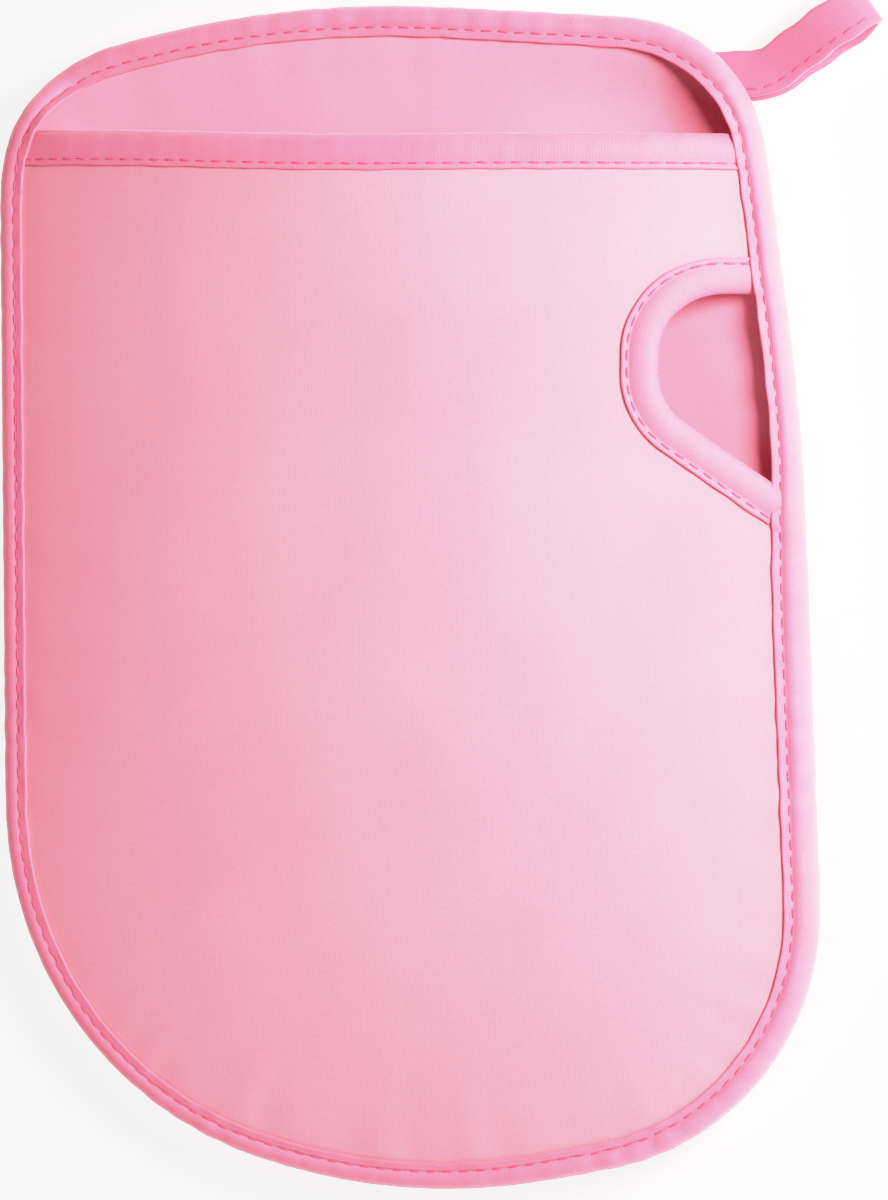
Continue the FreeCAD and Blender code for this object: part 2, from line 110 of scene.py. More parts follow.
# ---------------------------------------------------------------- plan shapes

def hull(node):
    """Convex outline of a CAD node seen from above, anticlockwise."""
    vertices = frame["nodes"][node].data.vertices
    points = sorted({(round(v.co.x, 6), round(v.co.y, 6)) for v in vertices})

    def half(run):
        kept = []
        for point in run:
            while len(kept) > 1 and cross(kept[-2], kept[-1], point) <= 0:
                kept.pop()
            kept.append(point)
        return kept[:-1]

    return np.array(half(points) + half(points[::-1]))


def cross(a, b, c):
    """Twice the area of a triangle, above 0 where it turns left."""
    return (b[0] - a[0]) * (c[1] - a[1]) - (b[1] - a[1]) * (c[0] - a[0])


def resample(points, spacing, closed):
    """The same line with evenly spaced points."""
    run = np.vstack([points, points[:1]]) if closed else points
    along = np.concatenate([[0], np.cumsum(np.linalg.norm(np.diff(run, axis=0), axis=1))])
    count = int(round(along[-1] / spacing))
    at = np.linspace(0, along[-1], count if closed else count + 1, endpoint=not closed)
    return np.stack([np.interp(at, along, run[:, k]) for k in range(run.shape[1])], axis=1)


def blur(values, spread, closed=True):
    """Gaussian smoothing along the first axis; spread is in samples."""
    reach = int(3 * spread) + 1
    weights = np.exp(-0.5 * (np.arange(-reach, reach + 1) / spread) ** 2)
    weights /= weights.sum()
    padding = [(reach, reach)] + [(0, 0)] * (values.ndim - 1)
    padded = np.pad(values, padding, mode="wrap" if closed else "edge")
    return sum(w * padded[i:i + len(values)] for i, w in enumerate(weights))


ARC_POINTS = 24


def rounded_path(corners, spacing):
    """Open line through corners (x, y, radius), straight between tangent arcs."""
    points = [np.array(corners[0][:2])]
    for before, here, after in zip(corners, corners[1:], corners[2:]):
        corner = np.array(here[:2])
        back = np.array(before[:2]) - corner
        ahead = np.array(after[:2]) - corner
        back /= np.linalg.norm(back)
        ahead /= np.linalg.norm(ahead)
        half = math.acos(np.clip(back @ ahead, -1, 1)) / 2
        trim = here[2] / math.tan(half)
        middle = (back + ahead) / np.linalg.norm(back + ahead)
        centre = corner + middle * here[2] / math.sin(half)
        first, last = corner + back * trim, corner + ahead * trim
        start = math.atan2(*(first - centre)[::-1])
        turn = math.atan2(*(last - centre)[::-1]) - start
        turn = (turn + math.pi) % (2 * math.pi) - math.pi
        for part in np.linspace(0, 1, ARC_POINTS):
            angle = start + turn * part
            points.append(centre + here[2] * np.array([math.cos(angle), math.sin(angle)]))
    points.append(np.array(corners[-1][:2]))
    return resample(np.array(points), spacing, closed=False)


def left_normals(line, closed):
    """Unit normals to the left of a line's direction; inwards on an anticlockwise outline."""
    if closed:
        run = np.roll(line, -1, axis=0) - np.roll(line, 1, axis=0)
    else:
        run = np.gradient(line, axis=0)
    run /= np.linalg.norm(run, axis=1)[:, None]
    return np.stack([-run[:, 1], run[:, 0]], axis=1)


BATCH = 4096                 # points measured at a time, to keep the arrays small


def nearest(points, line, closed=True):
    """Distance from each point to a line, and how far along the line its nearest place is."""
    ends = np.roll(line, -1, axis=0) if closed else line[1:]
    starts = line if closed else line[:-1]
    run = ends - starts
    length = np.linalg.norm(run, axis=1)
    along = np.concatenate([[0], np.cumsum(length)])[:-1]
    distance = np.empty(len(points))
    place = np.empty(len(points))
    for first in range(0, len(points), BATCH):
        part = points[first:first + BATCH, None, :] - starts[None]
        share = np.clip((part * run).sum(2) / (length ** 2), 0, 1)
        away = np.linalg.norm(part - share[..., None] * run, axis=2)
        best = away.argmin(1)
        rows = np.arange(len(best))
        distance[first:first + BATCH] = away[rows, best]
        place[first:first + BATCH] = along[best] + share[rows, best] * length[best]
    return distance, place


def inside(points, loop):
    """Which points lie inside a closed line."""
    x, y = points[:, 0], points[:, 1]
    count = np.zeros(len(points), int)
    for (x0, y0), (x1, y1) in zip(loop, np.roll(loop, -1, axis=0)):
        if y0 == y1:
            continue
        between = (y0 > y) != (y1 > y)
        count += between & (x < x0 + (y - y0) * (x1 - x0) / (y1 - y0))
    return count % 2 == 1


def signed(points, loop):
    """Distance to a closed line, above 0 inside it."""
    return np.where(inside(points, loop), 1, -1) * nearest(points, loop)[0]


outline = blur(resample(hull("edge_binding"), TAPE_STEP, True), 3.5)
outline_inward = left_normals(outline, True)
outline_length = TAPE_STEP * len(outline)

# The thumb notch, from its lower end under the edge tape round to its upper end.
NOTCH_SLOPE = -0.72
NOTCH_HEIGHT = 20.0 * MM     # of its upright side, corner to corner
NOTCH_RADIUS = 11 * MM
notch_left = thumb_low.x + HEM_WIDTH
notch_top = thumb_high.y - HEM_WIDTH
notch_low = notch_top - NOTCH_HEIGHT
notch_end = rim_high.x + 6 * MM
notch_line = rounded_path([
    (notch_end, notch_low + NOTCH_SLOPE * (notch_end - notch_left), 0),
    (notch_left, notch_low, NOTCH_RADIUS),
    (notch_left, notch_top, NOTCH_RADIUS),
    (notch_end, notch_top, 0),
], TAPE_STEP)


# ---------------------------------------------------------------- heights of the curved panels

CELL = 1.0 * MM
FIELD_MARGIN = 8 * MM
PAST_MOUTH = 70 * MM         # the field goes on this far past the outline, for the open sleeve
SWEEPS = 500
field_x = np.arange(rim_low.x - FIELD_MARGIN, rim_high.x + FIELD_MARGIN, CELL)
field_y = np.arange(rim_low.y - FIELD_MARGIN, rim_high.y + PAST_MOUTH, CELL)


def membrane(mask):
    """Height of an evenly inflated membrane held at the mask's edge, from 0 to 1.

    It is solved by over-relaxed sweeps, and its far end in Y is open: level, not held.
    """
    height = np.zeros(mask.shape)
    rows, columns = np.indices(mask.shape)
    colours = [mask & ((rows + columns) % 2 == parity) for parity in (0, 1)]
    over = 2 / (1 + math.pi / (1.2 * min(mask.shape)))      # relaxation factor for this grid
    for _ in range(SWEEPS):
        for colour in colours:
            around = np.zeros(mask.shape)
            around[1:-1, 1:-1] = (height[2:, 1:-1] + height[:-2, 1:-1] + height[1:-1, 2:]
                                  + height[1:-1, :-2])
            target = (around + 1) / 4
            height[colour] += over * (target - height)[colour]
            height[:, -1] = height[:, -2]
    return height / height.max()


def step_up(value, low, high):
    """Smooth step from 0 at low to 1 at high."""
    part = np.clip((value - low) / (high - low), 0, 1)
    return part * part * (3 - 2 * part)


def soften(field, spread):
    """Gaussian smoothing of a field in both directions."""
    return blur(blur(field, spread, False).T, spread, False).T


def sample(field, x, y):
    """Value of a field at any points, between its cells."""
    u = np.clip((x - field_x[0]) / CELL, 0, len(field_x) - 1.001)
    v = np.clip((y - field_y[0]) / CELL, 0, len(field_y) - 1.001)
    i, j = u.astype(int), v.astype(int)
    u, v = u - i, v - j
    low = field[i, j] * (1 - u) + field[i + 1, j] * u
    high = field[i, j + 1] * (1 - u) + field[i + 1, j + 1] * u
    return low * (1 - v) + high * v


WAVES = 9


def waves(size, seed):
    """A smooth random field: a sum of plane waves about size long, within about -1 to 1."""
    draw = np.random.default_rng(seed)
    total = 0
    for _ in range(WAVES):
        angle = draw.uniform(0, math.pi)
        length = size * draw.uniform(0.7, 1.6)
        across = grid_x * math.cos(angle) + grid_y * math.sin(angle)
        total = total + np.sin(2 * math.pi * across / length + draw.uniform(0, 2 * math.pi))
    return total / math.sqrt(2 * WAVES)


RIPPLES = 12


def ripple(length, wave, seed):
    """A random line of unit spread that repeats after length, with waves about wave long."""
    draw = np.random.default_rng(seed)
    middle = length / wave
    counts = np.unique(np.round(np.linspace(0.6 * middle, 1.7 * middle, RIPPLES)))
    sizes = draw.normal(0, 1, len(counts))
    starts = draw.uniform(0, 2 * math.pi, len(counts))
    sizes /= math.sqrt((sizes ** 2).sum() / 2)

    def value(at):
        turns = 2 * math.pi * np.asarray(at)[..., None] / length * counts
        return (sizes * np.sin(turns + starts)).sum(-1)

    return value


SEAM_INSET = 4.0 * MM        # the seam's distance inside the outline
SOFTENED = 2.0               # cells that a panel's height is smoothed over
grid_x, grid_y = np.meshgrid(field_x, field_y, indexing="ij")
cells = np.stack([grid_x.ravel(), grid_y.ravel()], axis=1)
whole = (signed(cells, outline) > SEAM_INSET).reshape(grid_x.shape)
rim_distance, rim_place = (part.reshape(grid_x.shape) for part in nearest(cells, outline))
from_seam = np.maximum(rim_distance - SEAM_INSET, 0)


def gathers(wave, height, seed):
    """Small folds that run into a panel from its seam and fade out."""
    along = ripple(outline_length, wave, seed)(rim_place)
    fade_out = np.exp(-(from_seam / (9 * MM)) ** 1.5)
    fade_in = 1 - np.exp(-from_seam / (1.5 * MM))
    return height * along * fade_out * fade_in


# The front panel goes on past its open mouth as if the pocket did, so that its mouth stays arched.
mouth_row = np.searchsorted(field_y, MOUTH_Y - 12 * MM)
sleeve = whole.copy()
sleeve[:, mouth_row:] = whole[:, mouth_row:mouth_row + 1]
front_pillow = soften(membrane(sleeve), SOFTENED)
front_under = (SEAM_Z + SEAM_GAP / 2 + FRONT_RISE * front_pillow ** 0.92
               + 0.25 * MM * waves(55 * MM, 3) * front_pillow
               + 0.06 * MM * waves(18 * MM, 4) * front_pillow
               + gathers(13 * MM, 0.13 * MM, 21))

# The back panel sinks to the ground within its reach from the seam. Above the mouth its slope is
# longer on the left, and shorter beside the loop.
BACK_REACH = 36 * MM
LEVEL_SHARE = 0.35           # of a slope that starts level at the seam; the rest starts steep
back_depth = SEAM_Z - SEAM_GAP / 2 - STACK
above_mouth = step_up(grid_y, MOUTH_Y - 20 * MM, MOUTH_Y + 8 * MM)
long_slope = above_mouth * step_up(-grid_x, -20 * MM, 45 * MM)
short_slope = above_mouth * step_up(grid_x, 5 * MM, 45 * MM)
back_reach = BACK_REACH * (1 + long_slope - 0.55 * short_slope)
back_part = np.clip(np.where(whole, rim_distance - SEAM_INSET, 0) / back_reach, 0, 1)
level_start = step_up(back_part, 0, 1)
steep_start = 1 - (1 - back_part) ** 2
sunk = LEVEL_SHARE * level_start + (1 - LEVEL_SHARE) * steep_start
back_under = soften(back_depth * (1 - sunk), SOFTENED)
off_ground = np.clip(back_under / (1.5 * MM), 0, 1)
back_under += (gathers(15 * MM, 0.07 * MM, 22) + 0.03 * MM * waves(16 * MM, 5)) * off_ground


# ---------------------------------------------------------------- meshes

def piece(name, points, faces, material, body="mitt"):
    """A smooth-shaded mesh piece."""
    data = bpy.data.meshes.new(name)
    data.from_pydata(points.tolist(), [], faces)
    data.polygons.foreach_set("use_smooth", np.ones(len(data.polygons), bool))
    data.materials.append(material)
    item = bpy.data.objects.new(name, data)
    bpy.context.scene.collection.objects.link(item)
    if body:
        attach(item, body)
    return item


CLOTH_CELL = 1.25 * MM
OVERHANG = 0.35 * CLOTH_CELL # points this little outside a cut line are kept, and moved onto it
BLANK_INSET = 0.85 * MM      # the panels end this far inside the outline


def cut_cloth(blank):
    """Even grid of points cut to a blank: plan points, cells, and the edges round it.

    The blank gives a point's distance inside the cut line; the outermost points move onto it.
    """
    x = np.arange(rim_low.x, rim_high.x + CLOTH_CELL, CLOTH_CELL)
    y = np.arange(rim_low.y, rim_high.y + CLOTH_CELL, CLOTH_CELL)
    plan_x, plan_y = np.meshgrid(x, y, indexing="ij")
    plan = np.stack([plan_x.ravel(), plan_y.ravel()], axis=1)
    kept = (blank(plan) > -OVERHANG).reshape(plan_x.shape)
    number = np.arange(plan_x.size).reshape(plan_x.shape)
    corners = np.stack([number[:-1, :-1], number[1:, :-1], number[1:, 1:], number[:-1, 1:]], axis=-1)
    cell_kept = kept[:-1, :-1] & kept[1:, :-1] & kept[1:, 1:] & kept[:-1, 1:]
    used, quads = np.unique(corners[cell_kept], return_inverse=True)
    quads = quads.reshape(-1, 4)
    plan = plan[used]
    edges = np.concatenate([quads[:, [k, (k + 1) % 4]] for k in range(4)])
    keys = np.sort(edges, axis=1)
    _, first, shared = np.unique(keys, axis=0, return_index=True, return_counts=True)
    rim = edges[first[shared == 1]]
    ends = np.unique(rim)
    step = 0.05 * MM
    for _ in range(3):
        here = blank(plan[ends])
        slope = np.stack([(blank(plan[ends] + move) - blank(plan[ends] - move)) / (2 * step)
                          for move in ([step, 0], [0, step])], axis=1)
        plan[ends] -= slope * (here / np.maximum((slope ** 2).sum(1), 0.2))[:, None]
    return plan, quads, rim


def layer(name, cloth, under, low, thick, material):
    """One layer of a panel, as a closed sheet of even thickness over a height field."""
    plan, quads, rim = cloth
    level = sample(under, plan[:, 0], plan[:, 1]) + low
    count = len(plan)
    points = np.concatenate([np.column_stack([plan, level]), np.column_stack([plan, level + thick])])
    walls = np.column_stack([rim[:, 0], rim[:, 1], rim[:, 1] + count, rim[:, 0] + count])
    faces = np.concatenate([quads + count, quads[:, ::-1], walls])
    return piece(name, points, faces.tolist(), material)


def mouth_level(x):
    """The mouth's edge: it rises a little towards the side away from the thumb."""
    return MOUTH_Y - 0.3 * MM + 2.3 * MM * step_up(-x, 0, 78 * MM)


def notch_side(points):
    """Distance from the notch line, above 0 on the cloth's side."""
    outside = notch_end + 20 * MM
    closing = np.vstack([notch_line, [[outside, notch_top], [outside, notch_line[0, 1]]]])
    return -signed(points, closing)


def back_blank(points):
    """The back panel's cut: the whole outline."""
    return signed(points, outline) - BLANK_INSET


def front_blank(points):
    """The front panel's cut: the outline below the mouth, without the thumb notch."""
    past_notch = notch_side(points) - TAPE
    to_mouth = mouth_level(points[:, 0]) - TAPE - points[:, 1]
    return np.minimum.reduce([back_blank(points), to_mouth, past_notch])


# ---------------------------------------------------------------- folded tapes

def front_bottom(plan):
    return sample(front_under, plan[..., 0], plan[..., 1])


def back_bottom(plan):
    return sample(back_under, plan[..., 0], plan[..., 1])


def front_top(plan):
    return front_bottom(plan) + STACK


def hem_below(plan):
    """1 where the mouth or thumb tape lies under the edge tape, and 0 elsewhere."""
    from_mouth = mouth_level(plan[..., 0]) - plan[..., 1]
    from_notch = notch_side(plan.reshape(-1, 2)).reshape(plan.shape[:-1])
    edge = 0.6 * MM
    strips = [step_up(away, -edge, edge) * (1 - step_up(away, HEM_WIDTH - edge, HEM_WIDTH + edge))
              for away in (from_mouth, from_notch)]
    return np.clip(strips[0] + strips[1], 0, 1)


def edge_top(plan):
    """What the edge tape's upper ply lies on: both panels, or the back one above the mouth."""
    past_mouth = plan[..., 1] - mouth_level(plan[..., 0])
    settled = (9 + 9 * step_up(plan[..., 0], 10 * MM, 45 * MM)) * MM
    above = step_up(past_mouth, 0.5 * MM, settled)
    rim_part = SEAM_Z + SEAM_GAP / 2 + STACK
    both = np.maximum(front_top(plan), rim_part) + TAPE * hem_below(plan)
    return both * (1 - above) + (back_bottom(plan) + STACK + 0.2 * MM) * above


def ring_around(across, height, thick):
    """Closed outline of a ply about its middle line, with rounded ends."""
    run_a, run_h = np.gradient(across, axis=1), np.gradient(height, axis=1)
    size = np.hypot(run_a, run_h)
    run_a, run_h = run_a / size, run_h / size
    half = thick / 2
    ring_a, ring_h = [], []
    for sign, order, end in ((1, 1, -1), (-1, -1, 0)):
        ring_a.append((across - sign * half * run_h)[:, ::order])
        ring_h.append((height + sign * half * run_a)[:, ::order])
        for angle in (50, 0, -50):
            turn_a = sign * math.cos(math.radians(angle)) * half
            turn_h = sign * math.sin(math.radians(angle)) * half
            ring_a.append(across[:, end] + turn_a * run_a[:, end] - turn_h * run_h[:, end])
            ring_h.append(height[:, end] + turn_a * run_h[:, end] + turn_h * run_a[:, end])
    return np.column_stack(ring_a), np.column_stack(ring_h)


def sweep(name, rings, closed, material, along, body="mitt"):
    """Skin over rings of points (stations, points, 3), capped at open ends.

    The attribute "tape" holds each point's place along and round the tape, for its weave.
    """
    stations, around = rings.shape[:2]
    here = np.arange(stations if closed else stations - 1)
    ahead = (here + 1) % stations
    k = np.arange(around)
    nextk = (k + 1) % around
    faces = np.stack([
        (here[:, None] * around + k).ravel(),
        (here[:, None] * around + nextk).ravel(),
        (ahead[:, None] * around + nextk).ravel(),
        (ahead[:, None] * around + k).ravel(),
    ], axis=1).tolist()
    if not closed:
        faces.append(k[::-1].tolist())
        faces.append((k + (stations - 1) * around).tolist())
    item = piece(name, rings.reshape(-1, 3), faces, material, body)
    ribs = item.data.attributes.new("tape", "FLOAT_VECTOR", "POINT")
    girth = np.concatenate([[0], np.cumsum(np.linalg.norm(np.diff(rings[0], axis=0), axis=1))])
    place = np.zeros(rings.shape)
    place[..., 0] = along[:, None]
    place[..., 1] = girth[None, :]
    ribs.data.foreach_set("vector", place.ravel())
    return item


ROLL_POINTS = 19
FLANGE_POINTS = 5
FLANGE_START = 0.18          # share of the flange from the stitch line to its first free point
CURL = 0.10 * MM             # lift of a flange's inner edge
PULL = 0.02 * MM             # how far each stitch draws the roll in
PUCKER = 0.12                # share that the roll's height varies by
PUCKER_WAVES = (9 * MM, 34 * MM)


def folded_tape(name, line, closed, width, flange, ridge, surfaces, seed, uneven=1.0):
    """Tape folded over a cloth edge that runs along a line, with the cloth on the line's left.

    The surfaces are what its upper and its lower ply lie on. Between its stitch lines the tape
    swells into a roll, and past them each ply ends in a flat flange.
    Returns the piece and the two stitch lines, on top and underneath.
    """
    top_of, under_of = surfaces
    inward = left_normals(line, closed)
    spacing = np.linalg.norm(line[1] - line[0])
    along = np.arange(len(line)) * spacing
    length = spacing * len(line)
    stitch_at = width - flange
    pulls = np.cos(2 * math.pi * along / (length / round(length / STITCH_PITCH)))
    wobble = uneven * ripple(length, PUCKER_WAVES[0], seed)(along)
    slow = uneven * ripple(length, PUCKER_WAVES[1], seed + 1)(along)

    seat = line + inward * stitch_at[:, None]
    high = top_of(seat) + TAPE / 2
    low = under_of(seat) - TAPE / 2
    high, low = blur(high, 1.5, closed), blur(low, 1.5, closed)
    middle, half = (high + low) / 2, (high - low) / 2
    tall = half + ridge * (1 + PUCKER * wobble + PUCKER * slow) - PULL * pulls
    # The roll is an ellipse that starts and ends at the stitch lines.
    lean = np.arcsin(np.clip((half - 0.05 * MM) / tall, 0, 0.97))
    centre = (stitch_at + np.cos(lean) * TAPE / 2) / (1 + np.cos(lean))
    deep = centre - TAPE / 2 + 0.03 * MM * wobble

    angle = lean[:, None] + (2 * math.pi - 2 * lean[:, None]) * np.linspace(0, 1, ROLL_POINTS)
    roll_across = centre[:, None] + deep[:, None] * np.cos(angle)
    roll_height = middle[:, None] + tall[:, None] * np.sin(angle)

    def flange_run(surface, sign, phase):
        edge = width + 0.04 * MM * ripple(length, 12 * MM, seed + phase)(along)
        shares = np.linspace(1, FLANGE_START, FLANGE_POINTS)
        across = stitch_at[:, None] + (edge - stitch_at)[:, None] * shares
        plan = line[:, None] + inward[:, None] * across[..., None]
        lift = CURL * np.linspace(1, 0, FLANGE_POINTS) ** 2 * (1 + 0.5 * wobble[:, None])
        height = surface(plan) + sign * (TAPE / 2 + lift + 0.03 * MM)
        return across, height

    top_across, top_height = flange_run(top_of, 1, 2)
    low_across, low_height = flange_run(under_of, -1, 3)
    across = np.column_stack([top_across, roll_across, low_across[:, ::-1]])
    height = np.column_stack([top_height, roll_height, low_height[:, ::-1]])
    ring_a, ring_h = ring_around(across, height, TAPE)
    plan = line[:, None] + inward[:, None] * ring_a[..., None]
    rings = np.concatenate([plan, ring_h[..., None]], axis=2)
    item = sweep(name, rings, closed, binding_tape, along)
    plies = []
    for sign, end in ((1, 0), (-1, -1)):
        spot = line + inward * roll_across[:, end][:, None]
        plies.append(np.column_stack([spot, roll_height[:, end] + sign * (TAPE / 2)]))
    return item, plies[0], plies[1]


# ---------------------------------------------------------------- sewing thread

THREAD_SIDES = 8
THREAD_RINGS = 9
STITCH_RISE = 0.10 * MM      # of a stitch's middle above the cloth
STITCH_DIP = 0.30 * MM       # of its ends below that


def stitches(name, line, up, pitch=STITCH_PITCH, closed=False, body="mitt"):
    """One short thread per stitch along a line; both of its ends go down into the cloth."""
    if closed:
        line = np.vstack([line, line[:1]])
    along = np.concatenate([[0], np.cumsum(np.linalg.norm(np.diff(line, axis=0), axis=1))])
    count = int(round(along[-1] / pitch))
    centre = (np.arange(count) + 0.5) * along[-1] / count
    reach = STITCH_LENGTH / STITCH_PITCH * pitch / 2
    spots = [np.stack([np.interp(centre + shift, along, line[:, k]) for k in range(3)], axis=1)
             for shift in (-reach, 0, reach)]
    forward = spots[2] - spots[0]
    forward /= np.linalg.norm(forward, axis=1)[:, None]
    side = np.cross(up, forward)
    side /= np.linalg.norm(side, axis=1)[:, None]
    upright = np.cross(forward, side)
    draw = np.random.default_rng(count)
    skew = np.radians(draw.normal(0, 2.5, count))[:, None]
    turned_forward = forward * np.cos(skew) + side * np.sin(skew)
    turned_side = side * np.cos(skew) - forward * np.sin(skew)

    # One stitch along X, with rounded ends, then a copy at each place.
    share = np.sin(np.linspace(-math.pi / 2, math.pi / 2, THREAD_RINGS))
    radius = THREAD * np.sqrt(np.clip(1 - share ** 6, 0, 1)) + 0.01 * MM
    turn = np.arange(THREAD_SIDES) * 2 * math.pi / THREAD_SIDES
    level = STITCH_RISE - STITCH_DIP * share ** 4
    shape = np.stack([
        np.repeat(share * reach, THREAD_SIDES),
        (radius[:, None] * np.cos(turn)).ravel(),
        (radius[:, None] * np.sin(turn) + level[:, None]).ravel(),
    ], axis=1)
    points = (spots[1][:, None] + shape[None, :, :1] * turned_forward[:, None]
              + shape[None, :, 1:2] * turned_side[:, None] + shape[None, :, 2:] * upright[:, None])
    ring = np.arange(THREAD_SIDES)
    after = (ring + 1) % THREAD_SIDES
    last = THREAD_SIDES * (THREAD_RINGS - 1)
    faces = []
    for here in range(0, last, THREAD_SIDES):
        ahead = here + THREAD_SIDES
        faces += np.stack([here + ring, here + after, ahead + after, ahead + ring], axis=1).tolist()
    faces += [ring[::-1].tolist(), (ring + last).tolist()]
    size = THREAD_SIDES * THREAD_RINGS
    every = [[index + size * copy for index in face] for copy in range(count) for face in faces]
    return piece(name, points.reshape(-1, 3), every, thread, body)


# ---------------------------------------------------------------- materials

def new_material(name):
    """A material with its node tree and its shader."""
    material = bpy.data.materials.new(name)
    material.use_nodes = True
    tree = material.node_tree
    shader = tree.nodes["Principled BSDF"]
    return material, tree, shader


def add(tree, kind, inputs=None, **settings):
    """A new node with its settings, and its input sockets set to values or linked to outputs."""
    node = tree.nodes.new(kind)
    for key, value in settings.items():
        setattr(node, key, value)
    for key, value in (inputs or {}).items():
        if isinstance(value, bpy.types.NodeSocket):
            tree.links.new(value, node.inputs[key])
        else:
            node.inputs[key].default_value = value
    return node


def mottled(tree, place, light, deep, patch, speck, patch_share, speck_share):
    """Colour that drifts between two shades in broad patches and fine specks."""
    broad = add(tree, "ShaderNodeTexNoise", {"Vector": place, "Scale": 1 / patch, "Detail": 3.0})
    fine = add(tree, "ShaderNodeTexNoise", {"Vector": place, "Scale": 1 / speck, "Detail": 2.0})
    patches = add(tree, "ShaderNodeMapRange", {
        "Value": broad.outputs["Fac"], "From Min": 0.35, "From Max": 0.65, "To Max": patch_share})
    specks = add(tree, "ShaderNodeMapRange", {
        "Value": fine.outputs["Fac"], "From Min": 0.3, "From Max": 0.7, "To Max": speck_share})
    share = add(tree, "ShaderNodeMath", {0: patches.outputs[0], 1: specks.outputs[0]}, operation="ADD")
    mix = add(tree, "ShaderNodeMix", {"Factor": share.outputs[0]}, data_type="RGBA")
    mix.inputs["A"].default_value = (*light, 1)
    mix.inputs["B"].default_value = (*deep, 1)
    return mix.outputs["Result"]


def set_finish(shader, roughness, sheen, sheen_roughness, sheen_tint, specular):
    """Gloss and sheen that are the same all over a surface."""
    shader.inputs["Roughness"].default_value = roughness
    shader.inputs["Sheen Weight"].default_value = sheen
    shader.inputs["Sheen Roughness"].default_value = sheen_roughness
    shader.inputs["Sheen Tint"].default_value = (*sheen_tint, 1)
    shader.inputs["Specular IOR Level"].default_value = specular


BUMP = 0.05 * MM             # relief of a weave or a knit


def knit(name, light, deep, loop=0.62 * MM, sheen=0.35):
    """Fine brushed knit: rows of small loops under a soft nap."""
    material, tree, shader = new_material(name)
    place = add(tree, "ShaderNodeTexCoord").outputs["Object"]
    colour = mottled(tree, place, light, deep, 30 * MM, 0.8 * MM, 0.30, 0.22)
    rows, courses = (
        add(tree, "ShaderNodeTexWave", {
            "Vector": place, "Scale": 1 / (loop * 3.2), "Distortion": 1.2, "Detail": 1.0,
            "Detail Scale": 2.0,
        }, bands_direction=direction) for direction in "XY")
    nap = add(tree, "ShaderNodeTexNoise", {"Vector": place, "Scale": 1 / (0.45 * MM), "Detail": 4.0})
    loops = add(tree, "ShaderNodeMath", {0: rows.outputs["Fac"], 1: courses.outputs["Fac"]},
                operation="MULTIPLY")
    soft_loops = add(tree, "ShaderNodeMath", {0: loops.outputs[0], 1: 0.45}, operation="MULTIPLY")
    surface = add(tree, "ShaderNodeMath", {0: nap.outputs["Fac"], 1: soft_loops.outputs[0]}, operation="ADD")
    bump = add(tree, "ShaderNodeBump", {"Height": surface.outputs[0], "Distance": BUMP, "Strength": 0.8})
    tree.links.new(colour, shader.inputs["Base Color"])
    tree.links.new(bump.outputs[0], shader.inputs["Normal"])
    set_finish(shader, 0.88, sheen, 0.5, (1.0, 0.82, 0.88), 0.25)
    return material


def ribbed(name, light, deep, rib=0.55 * MM, sheen=0.25, roughness=0.62, by_tape=True):
    """Woven tape: fine ribs across its length, warp lines along it, a satin gloss.

    Where it isn't laid by the tape's own attribute, as on thread, the ribs follow X and Y.
    """
    material, tree, shader = new_material(name)
    place = add(tree, "ShaderNodeTexCoord").outputs["Object"]
    colour = mottled(tree, place, light, deep, 22 * MM, 0.7 * MM, 0.25, 0.25)
    lie = place
    if by_tape:
        lie = add(tree, "ShaderNodeAttribute", attribute_name="tape").outputs["Vector"]
    ribs = add(tree, "ShaderNodeTexWave", {"Vector": lie, "Scale": 1 / (rib * 3.2), "Distortion": 0.8},
               bands_direction="X")
    warps = add(tree, "ShaderNodeTexWave", {"Vector": lie, "Scale": 1 / (rib * 2.2), "Distortion": 0.8},
                bands_direction="Y")
    fuzz = add(tree, "ShaderNodeTexNoise", {"Vector": place, "Scale": 1 / (0.4 * MM), "Detail": 3.0})
    weave = add(tree, "ShaderNodeMath", {0: ribs.outputs["Fac"], 1: warps.outputs["Fac"]},
                operation="MULTIPLY")
    surface = add(tree, "ShaderNodeMath", {0: weave.outputs[0], 1: fuzz.outputs["Fac"]}, operation="ADD")
    bump = add(tree, "ShaderNodeBump", {"Height": surface.outputs[0], "Distance": BUMP, "Strength": 0.7})
    tree.links.new(colour, shader.inputs["Base Color"])
    tree.links.new(bump.outputs[0], shader.inputs["Normal"])
    set_finish(shader, roughness, sheen, 0.4, (1.0, 0.80, 0.88), 0.3)
    return material


def cellular(name, light, deep):
    """Fine open-cell foam."""
    material, tree, shader = new_material(name)
    place = add(tree, "ShaderNodeTexCoord").outputs["Object"]
    colour = mottled(tree, place, light, deep, 12 * MM, 0.6 * MM, 0.2, 0.5)
    cells_in = add(tree, "ShaderNodeTexVoronoi", {"Vector": place, "Scale": 1 / (0.5 * MM)})
    bump = add(tree, "ShaderNodeBump", {"Height": cells_in.outputs["Distance"], "Distance": 0.12 * MM})
    tree.links.new(colour, shader.inputs["Base Color"])
    tree.links.new(bump.outputs[0], shader.inputs["Normal"])
    shader.inputs["Roughness"].default_value = 0.95
    return material


face_cloth = knit("face_cloth", (0.84, 0.235, 0.30), (0.80, 0.18, 0.245))
lining_cloth = knit("lining_cloth", (0.85, 0.235, 0.325), (0.81, 0.185, 0.27), 0.5 * MM, 0.3)
foam = cellular("foam", (0.90, 0.72, 0.76), (0.80, 0.55, 0.62))
binding_tape = ribbed("binding_tape", (0.82, 0.170, 0.26), (0.77, 0.125, 0.21))
loop_tape = ribbed("loop_tape", (0.80, 0.118, 0.195), (0.74, 0.085, 0.155))
thread = ribbed("thread", (0.70, 0.085, 0.165), (0.60, 0.055, 0.12), 0.3 * MM, 0.2, 0.5, by_tape=False)


